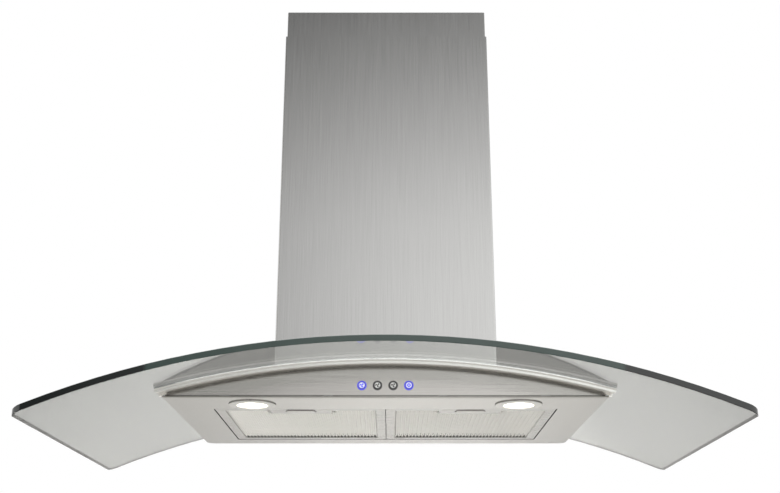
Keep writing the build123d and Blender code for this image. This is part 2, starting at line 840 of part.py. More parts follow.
def damper_pin():
    return rod(hinge_pin_radius, -collar_radius, collar_radius, "X", (collar_y, flap_z))


def damper_flap(side):
    """Half-round flap with two knuckles round the shared pin; side is -1 front, 1 back."""
    radius = collar_radius - collar_wall - flap_clearance
    knuckle = hinge_pin_radius + hinge_clearance + knuckle_wall
    plate = rod(radius, flap_z - flap_thickness, flap_z, "Z", (0, collar_y))
    keep_y = sorted((collar_y + side * (knuckle + 0.4), collar_y + side * 90))
    plate &= block((-90, 90), keep_y, (0, 1000))
    for spot in (-52, 12) if side < 0 else (-30, 34):
        x = (spot, spot + knuckle_length)
        plate += rod(knuckle, *x, "X", (collar_y, flap_z))
        web_y = sorted((collar_y, collar_y + side * (knuckle + 1.0)))
        plate += block(x, web_y, (flap_z - flap_thickness, flap_z))
        plate -= rod(hinge_pin_radius + hinge_clearance, *x, "X", (collar_y, flap_z))
    return plate


def terminal_box():
    """Mains terminal box on top of the blower box, open below for the control cable."""
    x = (terminal_x - 24, terminal_x + 24)
    y = (terminal_y - 42, terminal_y + 42)
    z = (box_top, box_top + 30)
    box = upright(block(x, y, z), 4.0)
    box -= block(
        (x[0] + 2, x[1] - 2), (y[0] + 2, y[1] - 2), (z[0] + 2, z[1] - 2)
    )
    for at, radius in cable_holes:
        box -= rod(radius + 1.5, z[0] - 1, z[0] + 3, "Z", at)
    return box - rod(gland_radius, z[1] - 5, z[1] + 5, "Z", gland_at)


gland_at = (terminal_x - 6.0, terminal_y + 8.0)
gland_radius = 7.0
gland_bore = 4.0
cable_up = (terminal_x - 2.0, terminal_y - 20.0)
motor_up = (terminal_x + 14.0, terminal_y + 21.0)
cable_holes = ((cable_up, cable_radius), (motor_up, lead_radius))


def cable_gland():
    """Mains inlet gland with a hexagon nut and a clamp bore."""
    top = box_top + 30
    gland = rod(gland_radius, top - 4, top + 16, "Z", gland_at)
    gland += Pos(*gland_at, top) * extrude(RegularPolygon(10.0, 6), 6.0)
    gland += rod(8.4, top + 9, top + 15, "Z", gland_at)
    return gland - rod(gland_bore, top - 5, top + 20, "Z", gland_at)


def capacitor():
    """Motor run capacitor in a clip, on top of the blower box."""
    at = (box_front_y + 42.0, box_top + 16.0)
    end = 8.0 - box_width / 2
    can = rod(14.0, end, end + 50, "X", at)
    can = fillet(can.edges().filter_by(GeomType.CIRCLE), 2.0)
    clip = block((end + 20, end + 30), (at[0] - 17, at[0] + 17), (box_top, box_top + 16))
    clip -= rod(14.0, end, end + 50, "X", at)
    return can + clip


def lead(name, radius, points):
    """Round lead through the points, each bend as wide as its shorter run allows."""
    lengths = [(Vector(b) - Vector(a)).length for a, b in zip(points, points[1:])]
    radii = []
    for i in range(1, len(points) - 1):
        before = Vector(points[i]) - Vector(points[i - 1])
        after = Vector(points[i + 1]) - Vector(points[i])
        half_turn = before.get_angle(after) * pi / 360
        radii.append(bend_share * min(lengths[i - 1], lengths[i]) / tan(half_turn))
    path = FilletPolyline(*points, radius=radii)
    section = Plane(path @ 0, z_dir=path % 0) * Circle(radius)
    swept = sweep(section, path=path)
    share = swept.volume / (pi * radius**2 * path.length)
    print(name, "length", round(path.length, 1), "radii", [round(r, 1) for r in radii])
    print(name, "volume over section times length", round(share, 4))
    return swept


def control_cable():
    """Lead from the control board to the terminal box, clipped up the duct neck."""
    x, y = cable_up
    return lead(
        "control cable",
        cable_radius,
        [
            (control_header_x, header_y, header_z),
            (control_header_x, header_y + 30.0, header_z),
            (control_header_x + 44.0, header_y + 68.0, header_z + 6.0),
            (x, y - cable_run, cable_low),
            (x, y, cable_low),
            (x, y, box_top + 12.0),
        ],
    )


def lamp_lead(side):
    """Lead from a lamp housing to its header on the control board."""
    x, y = lamp_centre(side)
    out = x - side * lamp_collar_radius
    return lead(
        "lamp lead",
        lead_radius,
        [
            (out, y, lamp_can_height - 6.0),
            (out - side * 30.0, y, lamp_can_height - 6.0),
            (side * lamp_header_x, header_y + 26.0, header_z),
            (side * lamp_header_x, header_y, header_z),
        ],
    )


def motor_lead():
    """Lead from the motor up into the terminal box."""
    x, y = motor_up
    z = wheel_z + 0.4 * motor_radius
    return lead(
        "motor lead",
        lead_radius,
        [
            (motor_x + motor_length, wheel_y, z),
            (motor_x + motor_length + 18.0, wheel_y, z),
            (x, wheel_y - 8.0, z + 12.0),
            (x, y, z + 40.0),
            (x, y, box_top + 12.0),
        ],
    )


def cable_clips():
    """Clips that hold the control cable to the body top and the blower box."""
    clips = []
    x, y = cable_up
    grip = cable_radius + 1.5
    for z in (neck_top + 40.0, neck_top + 160.0):
        clip = rod(grip, z, z + 8, "Z", cable_up)
        clip += block((x - 3, x + 3), (box_front_y + sheet, y), (z, z + 8))
        clips.append(clip - rod(cable_radius, z - 1, z + 9, "Z", cable_up))
    near = (y - (1 - bend_share) * cable_run, y - bend_share * cable_run)
    hanger = rod(grip, *near, "Y", (x, cable_low))
    hanger += block((x - 3, x + 3), near, (cable_low, 60))
    hanger &= under_arch(body_step, body_width / 2, front_y, 0)
    clips.append(hanger - rod(cable_radius, near[0] - 1, near[1] + 1, "Y", (x, cable_low)))
    return clips


def blower_screws():
    """Screws through the collar flange and the motor bracket."""
    screws = []
    spot = collar_radius + collar_flange / 2
    for i in range(4):
        angle = pi / 4 + pi / 2 * i
        x, y = spot * cos(angle), collar_y + spot * sin(angle)
        screws.append(rod(2.6, box_top + 2, box_top + 4, "Z", (x, y)))
    return screws


# ------------------------------------------------------------------------ chimney covers


def cover(half, depth, back, z):
    """U-shaped sheet cover with rounded front bends and narrow flanges at the wall."""
    outer = block((-half, half), (-depth, back), z)
    outer = upright(outer, chimney_bend, lambda e: e.center().Y < -depth / 2)
    inner = block((-half + sheet, half - sheet), (-depth + sheet, back - sheet), z)
    inner = upright(inner, chimney_bend - sheet, lambda e: e.center().Y < -depth / 2)
    mouth = half - chimney_flange
    return outer - inner - block((-mouth, mouth), (-depth / 2, back + 1), z)


def chimney_lower():
    """Outer cover, whose foot follows the top of the glass."""
    whole = cover(chimney_width / 2, chimney_depth, 0, (0, chimney_top))
    whole -= under_arch(
        glass_thickness + chimney_glass_gap, canopy_width / 2, -chimney_depth - 5, 5
    )
    for side in (-1, 1):
        hole_x = sorted((side * (chimney_width / 2 - 5), side * (chimney_width / 2 + 5)))
        whole -= rod(2.2, *hole_x, "X", spacer_screw)
    return whole


upper_half = chimney_width / 2 - sheet - cover_gap
upper_depth = chimney_depth - sheet - cover_gap
upper_back = -sheet - cover_gap
bracket_z = upper_top - bracket_height / 2
ear_screw = (upper_back - sheet - 18.0, upper_top - 10.0)


def chimney_upper():
    """Inner cover, which slides up out of the outer one."""
    z = (upper_top - upper_height, upper_top)
    whole = cover(upper_half, upper_depth, upper_back, z)
    for side in (-1, 1):
        hole_x = sorted((side * (upper_half - 5), side * (upper_half + 5)))
        whole -= rod(2.2, *hole_x, "X", ear_screw)
    return whole


def chimney_bracket():
    """Wall bracket that carries the inner cover by two ears."""
    back = upper_back - sheet - bracket_play
    plate_y = (back - bracket_sheet, back)
    half = upper_half - sheet - bracket_play
    z = (bracket_z - bracket_height / 2 + 1, bracket_z + bracket_height / 2 - 1)
    bracket = block((-half, half), plate_y, z)
    for side in (-1, 1):
        ear_x = sorted((side * half, side * (half - bracket_sheet)))
        ear = block(ear_x, (back - bracket_ear, back), z)
        bracket += ear - rod(2.0, *ear_x, "X", ear_screw)
        boss_x = side * bracket_bolt_spacing / 2
        bracket += rod(14.0, back, 0, "Y", (boss_x, bracket_z))
        bracket -= rod(bracket_bolt_radius, plate_y[0] - 5, 5, "Y", (boss_x, bracket_z))
    return bracket


def ear_screws():
    """Flush screws through the inner cover into the bracket ears."""
    screws = []
    for side in (-1, 1):
        out = upper_half + 0.6
        shank = sorted((side * (upper_half - 4.0), side * out))
        head = sorted((side * upper_half, side * out))
        screws.append(rod(1.9, *shank, "X", ear_screw) + rod(3.6, *head, "X", ear_screw))
    return screws


spacer_screw = (box_front_y + 70.0, neck_top + 12.0)


def cover_spacers():
    """Angle brackets from the blower box to the outer cover."""
    spacers = []
    for side in (-1, 1):
        near, far = box_width / 2, chimney_width / 2 - sheet
        y = (spacer_screw[0] - 20, spacer_screw[0] + 20)
        z = (neck_top + 1.0, neck_top + 24.0)
        foot = block(sorted((side * near, side * far)), y, (z[0], z[0] + 1.5))
        inner = block(sorted((side * near, side * (near + 1.5))), y, z)
        outer = block(sorted((side * (far - 1.5), side * far)), y, z)
        hole = rod(2.0, *sorted((side * (far - 5), side * (far + 5))), "X", spacer_screw)
        spacers.append(foot + inner + outer - hole)
    return spacers


def cover_screws():
    """Domed screws that fix the outer cover at each side."""
    screws = []
    for side in (-1, 1):
        face = chimney_width / 2
        shank = rod(1.9, *sorted((side * (face - 5.0), side * (face + 0.5))), "X", spacer_screw)
        head = rod(4.0, *sorted((side * face, side * (face + 1.8))), "X", spacer_screw)
        recess = sorted((side * (face + 0.8), side * (face + 3.0)))
        screws.append(shank + head - rod(1.5, *recess, "X", spacer_screw))
    return screws


# ------------------------------------------------------------------------- write the nodes

save("glass_canopy", glass_canopy())
save("glass_gasket", glass_gasket())
save("neck_seal", neck_seal_frame())
save("glass_screws", *glass_screws())
save("bottom_tray", bottom_tray())
save("body_top", body_top())
save("air_neck", air_neck())
save("trim_strip", trim_strip())
save("front_panel", front_panel())
for label, hand in (("left", -1), ("right", 1)):
    save(f"{label}_filter_frame", filter_frame(hand))
    save(f"{label}_filter_mesh", filter_mesh(hand))
    save(f"{label}_latch", latch_slider(hand))
    save(f"{label}_latch_spring", latch_spring(hand))
    save(f"{label}_lamp_bezel", lamp_bezel(hand))
    save(f"{label}_lamp_lens", lamp_lens(hand))
    save(f"{label}_lamp_can", lamp_can(hand))
    save(f"{label}_lamp_board", lamp_board(hand))
for index, label in enumerate(button_names):
    save(f"{label}_button", button(index))
save("button_bezels", *[button_bezel(i) for i in range(len(button_names))])
save("switches", *[switch(i) for i in range(len(button_names))])
save("control_board", control_board())
save("board_clips", *board_clips())
save("panel_spacers", *panel_spacers())
save("control_cable", control_cable())
save("lamp_leads", lamp_lead(-1), lamp_lead(1))
save("motor_lead", motor_lead())
save("cable_clips", *cable_clips())
save("blower_box", blower_box())
save("hanger_plate", hanger_plate())
save("scroll_housing", scroll_housing())
save("impeller", impeller())
save("motor_shaft", motor_shaft())
save("motor", motor())
save("motor_bracket", motor_bracket())
save("outlet_collar", outlet_collar())
save("damper_pin", damper_pin())
save("front_damper_flap", damper_flap(-1))
save("rear_damper_flap", damper_flap(1))
save("terminal_box", terminal_box())
save("cable_gland", cable_gland())
save("capacitor", capacitor())
save("blower_screws", *blower_screws())
save("chimney_lower", chimney_lower())
save("cover_spacers", *cover_spacers())
save("cover_screws", *cover_screws())
save("chimney_upper", chimney_upper())
save("chimney_bracket", chimney_bracket())
save("ear_screws", *ear_screws())
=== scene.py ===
"""Wall-mounted cooker hood with an arched glass canopy, dressed and lit for its picture.

Everything is in metres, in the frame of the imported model: +X to the user's right, +Y to the
wall, +Z up, with the origin on the wall plane, level with the flat underside of the body.
"""

import math

import bmesh
import bpy
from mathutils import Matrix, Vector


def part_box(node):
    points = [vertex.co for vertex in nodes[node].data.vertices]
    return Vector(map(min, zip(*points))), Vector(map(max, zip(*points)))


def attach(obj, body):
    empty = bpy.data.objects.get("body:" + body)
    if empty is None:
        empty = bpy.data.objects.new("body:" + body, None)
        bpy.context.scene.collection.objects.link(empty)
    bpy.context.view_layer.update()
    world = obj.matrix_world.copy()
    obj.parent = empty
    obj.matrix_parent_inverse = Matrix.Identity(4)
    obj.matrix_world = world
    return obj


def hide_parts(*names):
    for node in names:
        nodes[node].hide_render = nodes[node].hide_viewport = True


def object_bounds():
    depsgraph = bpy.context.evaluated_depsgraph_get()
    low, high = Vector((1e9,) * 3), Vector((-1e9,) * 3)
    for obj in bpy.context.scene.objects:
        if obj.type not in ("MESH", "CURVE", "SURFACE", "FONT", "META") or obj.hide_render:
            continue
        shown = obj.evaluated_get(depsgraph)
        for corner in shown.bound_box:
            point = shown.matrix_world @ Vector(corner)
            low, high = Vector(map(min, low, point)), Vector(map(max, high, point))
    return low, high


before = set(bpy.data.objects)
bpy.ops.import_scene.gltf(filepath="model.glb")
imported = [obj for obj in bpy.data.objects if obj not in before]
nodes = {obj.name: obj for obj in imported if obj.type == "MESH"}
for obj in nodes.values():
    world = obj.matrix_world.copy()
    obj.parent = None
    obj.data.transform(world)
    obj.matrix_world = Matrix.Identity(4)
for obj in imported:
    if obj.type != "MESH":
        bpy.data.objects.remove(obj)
cad_low, cad_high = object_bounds()

# ---------------------------------------------------------------- wall fixings and blower box
# The blower box and its hanger plate, the duct neck, the body top and the small brackets are
# pressed from zinc coated sheet steel. The zinc freezes in broad, faintly angular crystals.


def node_group(name, inputs, outputs):
    """Empty shader node group with its sockets; returns it with its two end nodes."""
    group = bpy.data.node_groups.new(name, "ShaderNodeTree")
    kinds = {"float": "NodeSocketFloat", "colour": "NodeSocketColor", "vector": "NodeSocketVector"}
    for label, kind, value in inputs:
        socket = group.interface.new_socket(label, in_out="INPUT", socket_type=kinds[kind])
        if value is not None:
            socket.default_value = value
    for label, kind in outputs:
        group.interface.new_socket(label, in_out="OUTPUT", socket_type=kinds[kind])
    return group, group.nodes.new("NodeGroupInput"), group.nodes.new("NodeGroupOutput")


def noise(tree, vector, scale, detail=3.0, roughness=0.5):
    """Noise texture read at a vector socket; returns its single-valued output."""
    texture = tree.nodes.new("ShaderNodeTexNoise")
    texture.inputs["Scale"].default_value = scale
    texture.inputs["Detail"].default_value = detail
    texture.inputs["Roughness"].default_value = roughness
    tree.links.new(vector, texture.inputs["Vector"])
    return texture.outputs["Fac"]


def math_node(tree, operation, *values):
    """Math node on sockets or numbers; returns its output."""
    made = tree.nodes.new("ShaderNodeMath")
    made.operation = operation
    for i, value in enumerate(values):
        if isinstance(value, (int, float)):
            made.inputs[i].default_value = value
        else:
            tree.links.new(value, made.inputs[i])
    return made.outputs[0]


def remap(tree, value, low, high, to_low, to_high):
    """Map Range node, clamped; the two target ends may be sockets."""
    made = tree.nodes.new("ShaderNodeMapRange")
    tree.links.new(value, made.inputs["Value"])
    for label, end in (("From Min", low), ("From Max", high), ("To Min", to_low), ("To Max", to_high)):
        if isinstance(end, (int, float)):
            made.inputs[label].default_value = end
        else:
            tree.links.new(end, made.inputs[label])
    return made.outputs[0]


def mix_colour(tree, amount, first, second):
    """Mix of two colours given as sockets or as (r, g, b)."""
    made = tree.nodes.new("ShaderNodeMix")
    made.data_type = "RGBA"
    for label, value in ((0, amount), (6, first), (7, second)):
        if isinstance(value, (int, float)):
            made.inputs[label].default_value = value
        elif isinstance(value, tuple):
            made.inputs[label].default_value = (*value, 1.0)
        else:
            tree.links.new(value, made.inputs[label])
    return made.outputs[2]


def finish(name, colour, metallic, roughness, **sockets):
    """Material with one Principled shader; uniform values go on its own sockets."""
    made = bpy.data.materials.new(name)
    made.use_nodes = True
    shader = made.node_tree.nodes["Principled BSDF"]
    shader.inputs["Base Color"].default_value = (*colour, 1.0)
    shader.inputs["Metallic"].default_value = metallic
    shader.inputs["Roughness"].default_value = roughness
    for label, value in sockets.items():
        shader.inputs[label.replace("_", " ").title()].default_value = value
    return made, made.node_tree, shader


def place_group(tree, group, **values):
    """Group placed in a material, reading object coordinates, with its own values."""
    made = tree.nodes.new("ShaderNodeGroup")
    made.node_tree = group
    where = tree.nodes.new("ShaderNodeTexCoord")
    tree.links.new(where.outputs["Object"], made.inputs["Position"])
    for label, value in values.items():
        made.inputs[label.replace("_", " ").title()].default_value = value
    return made


def bump(tree, shader, height, strength, distance):
    """Bump on the shader's normal from a height socket."""
    made = tree.nodes.new("ShaderNodeBump")
    made.inputs["Strength"].default_value = strength
    made.inputs["Distance"].default_value = distance
    tree.links.new(height, made.inputs["Height"])
    tree.links.new(made.outputs[0], shader.inputs["Normal"])


def dress(material, *names):
    """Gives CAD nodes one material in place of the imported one."""
    for name in names:
        slots = nodes[name].data.materials
        slots.clear()
        slots.append(material)


zinc_bloom, zinc_in, zinc_out = node_group(
    "zinc_bloom",
    [
        ("Position", "vector", None),
        ("Light", "colour", (0.5, 0.5, 0.5, 1)),
        ("Dark", "colour", (0.4, 0.4, 0.4, 1)),
    ],
    [("Colour", "colour"), ("Roughness", "float")],
)
crystals = zinc_bloom.nodes.new("ShaderNodeTexVoronoi")
crystals.inputs["Scale"].default_value = 90.0
zinc_bloom.links.new(zinc_in.outputs["Position"], crystals.inputs["Vector"])
crystal_tone = zinc_bloom.nodes.new("ShaderNodeSeparateColor")
zinc_bloom.links.new(crystals.outputs["Color"], crystal_tone.inputs[0])
cloud = noise(zinc_bloom, zinc_in.outputs["Position"], 25.0)
tone = math_node(zinc_bloom, "MULTIPLY", crystal_tone.outputs[0], cloud)
zinc_bloom.links.new(
    mix_colour(zinc_bloom, tone, zinc_in.outputs["Dark"], zinc_in.outputs["Light"]), zinc_out.inputs["Colour"]
)
zinc_bloom.links.new(remap(zinc_bloom, tone, 0.0, 0.7, 0.42, 0.58), zinc_out.inputs["Roughness"])

zinc_sheet, zinc_tree, zinc_shader = finish("zinc_sheet", (0.5, 0.52, 0.53), 1.0, 0.5)
zinc_face = place_group(
    zinc_tree, zinc_bloom, light=(0.62, 0.64, 0.66, 1), dark=(0.40, 0.42, 0.44, 1)
)
zinc_tree.links.new(zinc_face.outputs["Colour"], zinc_shader.inputs["Base Color"])
zinc_tree.links.new(zinc_face.outputs["Roughness"], zinc_shader.inputs["Roughness"])
dress(
    zinc_sheet,
    "blower_box",
    "hanger_plate",
    "air_neck",
    "body_top",
    "motor_bracket",
    "chimney_bracket",
    "cover_spacers",
    "board_clips",
    "panel_spacers",
)

# Screws, the flap pin, the motor shaft and the latch springs are turned or drawn steel with a
# bright zinc plate, slightly cloudy from handling.
plated_steel, plated_tree, plated_shader = finish("plated_steel", (0.62, 0.63, 0.64), 1.0, 0.25)
plated_face = place_group(
    plated_tree, zinc_bloom, light=(0.70, 0.71, 0.72, 1), dark=(0.55, 0.56, 0.58, 1)
)
plated_tree.links.new(plated_face.outputs["Colour"], plated_shader.inputs["Base Color"])
dress(
    plated_steel,
    "glass_screws",
    "blower_screws",
    "cover_screws",
    "ear_screws",
    "damper_pin",
    "motor_shaft",
    "left_latch_spring",
    "right_latch_spring",
)

# ------------------------------------------------------------------------------------ blower
# Scroll casing, fan wheel, duct collar, flaps, terminal box, gland, switches and clips are
# injection moulded in black plastic, with the fine spark-eroded texture of the mould.

mould_grain, mould_in, mould_out = node_group(
    "mould_grain",
    [
        ("Position", "vector", None),
        ("Colour", "colour", (0.03, 0.03, 0.03, 1)),
        ("Dust", "colour", (0.2, 0.2, 0.2, 1)),
        ("Grain Scale", "float", 1500.0),
    ],
    [("Colour", "colour"), ("Roughness", "float"), ("Height", "float")],
)
pits = mould_grain.nodes.new("ShaderNodeTexNoise")
pits.inputs["Detail"].default_value = 2.0
mould_grain.links.new(mould_in.outputs["Position"], pits.inputs["Vector"])
mould_grain.links.new(mould_in.outputs["Grain Scale"], pits.inputs["Scale"])
flow = noise(mould_grain, mould_in.outputs["Position"], 30.0, 4.0)
settled = remap(mould_grain, flow, 0.45, 0.8, 0.0, 0.25)
dusted = mix_colour(mould_grain, settled, mould_in.outputs["Colour"], mould_in.outputs["Dust"])
mould_grain.links.new(dusted, mould_out.inputs["Colour"])
mould_grain.links.new(remap(mould_grain, flow, 0.3, 0.7, 0.45, 0.62), mould_out.inputs["Roughness"])
mould_grain.links.new(pits.outputs["Fac"], mould_out.inputs["Height"])


def moulded(name, colour, dust, grain_scale=1500.0):
    """Moulded plastic with grain, faint flow marks and a little dust."""
    made, tree, shader = finish(name, colour, 0.0, 0.5)
    face = place_group(tree, mould_grain, colour=(*colour, 1), dust=(*dust, 1), grain_scale=grain_scale)
    tree.links.new(face.outputs["Colour"], shader.inputs["Base Color"])
    tree.links.new(face.outputs["Roughness"], shader.inputs["Roughness"])
    bump(tree, shader, face.outputs["Height"], 0.25, 0.0001)
    return made


black_plastic = moulded("black_plastic", (0.022, 0.022, 0.024), (0.09, 0.088, 0.085))
dress(
    black_plastic,
    "scroll_housing",
    "impeller",
    "outlet_collar",
    "front_damper_flap",
    "rear_damper_flap",
    "terminal_box",
    "cable_gland",
    "switches",
    "cable_clips",
)

# The motor has a cast and machined aluminium shell, the run capacitor a pale plastic can, and
# the leads a grey sheath.
cast_shell, cast_tree, cast_shader = finish("cast_shell", (0.45, 0.46, 0.47), 1.0, 0.45)
cast_where = cast_tree.nodes.new("ShaderNodeTexCoord")
cast_skin = noise(cast_tree, cast_where.outputs["Object"], 700.0, 5.0)
cast_tree.links.new(
    mix_colour(cast_tree, cast_skin, (0.34, 0.35, 0.36), (0.56, 0.57, 0.58)), cast_shader.inputs["Base Color"]
)
bump(cast_tree, cast_shader, cast_skin, 0.3, 0.0003)
dress(cast_shell, "motor")
dress(moulded("pale_plastic", (0.55, 0.55, 0.52), (0.42, 0.41, 0.38)), "capacitor")
grey_sheath = moulded("grey_sheath", (0.10, 0.10, 0.10), (0.16, 0.16, 0.155), 900.0)
dress(grey_sheath, "control_cable", "lamp_leads", "motor_lead")

# --------------------------------------------------------------------- stainless steel body
# The underside tray and the front panel are folded from 1 mm stainless steel, brushed across
# the width of the hood, so that its fine scratches spread each highlight up and down.

brushed_grain, brushed_in, brushed_out = node_group(
    "brushed_grain",
    [
        ("Position", "vector", None),
        ("Stretch", "vector", (12.0, 900.0, 900.0)),
        ("Light", "colour", (0.65, 0.64, 0.62, 1)),
        ("Dark", "colour", (0.55, 0.54, 0.52, 1)),
        ("Smooth", "float", 0.22),
        ("Rough", "float", 0.36),
    ],
    [("Colour", "colour"), ("Roughness", "float"), ("Height", "float")],
)
stretched = brushed_grain.nodes.new("ShaderNodeVectorMath")
stretched.operation = "MULTIPLY"
brushed_grain.links.new(brushed_in.outputs["Position"], stretched.inputs[0])
brushed_grain.links.new(brushed_in.outputs["Stretch"], stretched.inputs[1])
scratches = noise(brushed_grain, stretched.outputs[0], 1.0, 4.0, 0.65)
handling = noise(brushed_grain, brushed_in.outputs["Position"], 14.0, 2.0)
streaks = remap(brushed_grain, scratches, 0.3, 0.7, 0.0, 1.0)
brushed_grain.links.new(
    mix_colour(brushed_grain, streaks, brushed_in.outputs["Dark"], brushed_in.outputs["Light"]),
    brushed_out.inputs["Colour"],
)
streak_share = math_node(brushed_grain, "MULTIPLY", streaks, 0.65)
worn = math_node(brushed_grain, "MULTIPLY_ADD", handling, 0.35, streak_share)
brushed_grain.links.new(
    remap(brushed_grain, worn, 0.0, 1.0, brushed_in.outputs["Smooth"], brushed_in.outputs["Rough"]),
    brushed_out.inputs["Roughness"],
)
brushed_grain.links.new(scratches, brushed_out.inputs["Height"])


def brushed(name, stretch, light, dark, smooth, rough, depth=0.00005):
    """Brushed metal; stretch is how fast the grain changes along X, Y and Z."""
    middle = tuple((a + b) / 2 for a, b in zip(light, dark))
    made, tree, shader = finish(name, middle, 1.0, (smooth + rough) / 2)
    face = place_group(
        tree, brushed_grain, stretch=stretch, light=(*light, 1), dark=(*dark, 1), smooth=smooth, rough=rough
    )
    tree.links.new(face.outputs["Colour"], shader.inputs["Base Color"])
    tree.links.new(face.outputs["Roughness"], shader.inputs["Roughness"])
    bump(tree, shader, face.outputs["Height"], 0.5, depth)
    return made


across = (10.0, 900.0, 900.0)
body_steel = brushed("body_steel", across, (0.48, 0.468, 0.448), (0.41, 0.40, 0.382), 0.15, 0.24)
dress(body_steel, "bottom_tray", "front_panel")

# ------------------------------------------------------------------------ seals and canopy
# A black foam strip beds the glass on the body, and a rubber frame closes the gap round the
# duct neck.
dress(moulded("black_rubber", (0.012, 0.012, 0.012), (0.05, 0.05, 0.05), 600.0), "glass_gasket", "neck_seal")

# The canopy is 8 mm float glass, bent hot and toughened, with ground and polished edges. The edges
# are an opaque dark green, partly the glass's own tint and partly painted shade: greyer over the
# body by a painted reflection of the steel, and near black by painted shade beyond its ends.
canopy_glass = bpy.data.materials.new("canopy_glass")
canopy_glass.use_nodes = True
glass_tree = canopy_glass.node_tree
glass_shader = glass_tree.nodes["Principled BSDF"]
glass_shader.inputs["Roughness"].default_value = 0.0
glass_shader.inputs["IOR"].default_value = 1.52
glass_shader.inputs["Transmission Weight"].default_value = 1.0
glass_shader.inputs["Base Color"].default_value = (0.93, 0.955, 0.945, 1.0)
glass_light = glass_tree.nodes.new("ShaderNodeLightPath")
glass_clear = glass_tree.nodes.new("ShaderNodeBsdfTransparent")
glass_clear.inputs["Color"].default_value = (0.88, 0.92, 0.905, 1.0)
glass_mix = glass_tree.nodes.new("ShaderNodeMixShader")
glass_tree.links.new(glass_light.outputs["Is Shadow Ray"], glass_mix.inputs[0])
glass_tree.links.new(glass_shader.outputs[0], glass_mix.inputs[1])
glass_tree.links.new(glass_clear.outputs[0], glass_mix.inputs[2])
glass_tree.links.new(glass_mix.outputs[0], glass_tree.nodes["Material Output"].inputs[0])

body_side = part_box("bottom_tray")[1].x
edge_glass, edge_tree, edge_shader = finish(
    "edge_glass", (0.03, 0.06, 0.05), 0.0, 0.12, coat_weight=0.3, coat_roughness=0.03
)
edge_where = edge_tree.nodes.new("ShaderNodeTexCoord")
edge_parts = edge_tree.nodes.new("ShaderNodeSeparateXYZ")
edge_tree.links.new(edge_where.outputs["Object"], edge_parts.inputs[0])
edge_off = math_node(edge_tree, "ABSOLUTE", edge_parts.outputs[0])
# Painted shade: this mask turns the edge colour near black where the glass reaches past the sides of the
# body.
painted_shade_past_body = remap(edge_tree, edge_off, body_side - 0.004, body_side + 0.002, 0.0, 1.0)
edge_cloud = noise(edge_tree, edge_where.outputs["Object"], 40.0)
# Painted reflection of the steel body greys the edge over the body; past its ends the edge gets painted
# shade.
edge_painted_body_reflection = mix_colour(edge_tree, edge_cloud, (0.024, 0.046, 0.040), (0.036, 0.062, 0.055))
edge_painted_shade = mix_colour(edge_tree, edge_cloud, (0.002, 0.004, 0.004), (0.004, 0.008, 0.007))
edge_tree.links.new(mix_colour(edge_tree, painted_shade_past_body, edge_painted_body_reflection, edge_painted_shade), edge_shader.inputs["Base Color"])

glass = nodes["glass_canopy"]
dress(canopy_glass, "glass_canopy")
glass.data.materials.append(edge_glass)
for face in glass.data.polygons:
    upright = abs(face.normal.y) > 0.4 or abs(face.normal.x) > 0.75
    face.material_index = 1 if upright else 0

# ------------------------------------------------------------------------------ chrome trim
# A chrome plated channel, open below and bent to the arch of the glass. It reaches out over the
# front panel and covers the joint between the panel and the glass.
chrome, chrome_tree, chrome_shader = finish("chrome", (0.78, 0.77, 0.75), 1.0, 0.10)
chrome_face = place_group(
    chrome_tree,
    brushed_grain,
    stretch=(8.0, 300.0, 300.0),
    light=(0.80, 0.79, 0.77, 1),
    dark=(0.74, 0.73, 0.71, 1),
    smooth=0.07,
    rough=0.16,
)
chrome_tree.links.new(chrome_face.outputs["Colour"], chrome_shader.inputs["Base Color"])
chrome_tree.links.new(chrome_face.outputs["Roughness"], chrome_shader.inputs["Roughness"])
dress(chrome, "trim_strip")

# ------------------------------------------------------------------------------------ lamps
# Each lamp is a satin ring round a frosted lens, with a spun aluminium can and a round board
# of light-emitting diodes behind it. The lamps are lit.
ring_metal = brushed("ring_metal", (260.0, 260.0, 260.0), (0.62, 0.61, 0.59), (0.50, 0.49, 0.47), 0.18, 0.30)
dress(ring_metal, "left_lamp_bezel", "right_lamp_bezel")
dress(
    brushed("spun_aluminium", (120.0, 120.0, 1500.0), (0.66, 0.67, 0.68), (0.55, 0.56, 0.57), 0.30, 0.45),
    "left_lamp_can",
    "right_lamp_can",
)

lens_radius = (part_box("left_lamp_lens")[1].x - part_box("left_lamp_lens")[0].x) / 2
for side in ("left", "right"):
    low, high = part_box(f"{side}_lamp_lens")
    centre = (low + high) / 2
    lens, lens_tree, lens_shader = finish(f"{side}_lit_lens", (0.95, 0.94, 0.90), 0.0, 0.35)
    where = lens_tree.nodes.new("ShaderNodeTexCoord")
    off = lens_tree.nodes.new("ShaderNodeVectorMath")
    off.operation = "DISTANCE"
    off.inputs[1].default_value = (centre.x, centre.y, low.z)
    lens_tree.links.new(where.outputs["Object"], off.inputs[0])
    spread = remap(lens_tree, off.outputs["Value"], 0.2 * lens_radius, lens_radius, 1.0, 0.35)
    glow = mix_colour(lens_tree, spread, (0.80, 0.74, 0.62), (1.0, 0.97, 0.91))
    lens_tree.links.new(glow, lens_shader.inputs["Emission Color"])
    lens_shader.inputs["Emission Strength"].default_value = 2.6
    rings = math_node(lens_tree, "SINE", math_node(lens_tree, "MULTIPLY", off.outputs["Value"], 5200.0))
    bump(lens_tree, lens_shader, rings, 0.4, 0.0002)
    dress(lens, f"{side}_lamp_lens")

board_green, board_tree, board_shader = finish("board_green", (0.02, 0.11, 0.05), 0.0, 0.35)
board_where = board_tree.nodes.new("ShaderNodeTexCoord")
tracks = board_tree.nodes.new("ShaderNodeTexBrick")
tracks.inputs["Scale"].default_value = 220.0
tracks.inputs["Color1"].default_value = (0.018, 0.10, 0.045, 1)
tracks.inputs["Color2"].default_value = (0.028, 0.14, 0.06, 1)
tracks.inputs["Mortar"].default_value = (0.05, 0.20, 0.09, 1)
board_tree.links.new(board_where.outputs["Object"], tracks.inputs["Vector"])
board_tree.links.new(tracks.outputs["Color"], board_shader.inputs["Base Color"])
dress(board_green, "left_lamp_board", "right_lamp_board", "control_board")

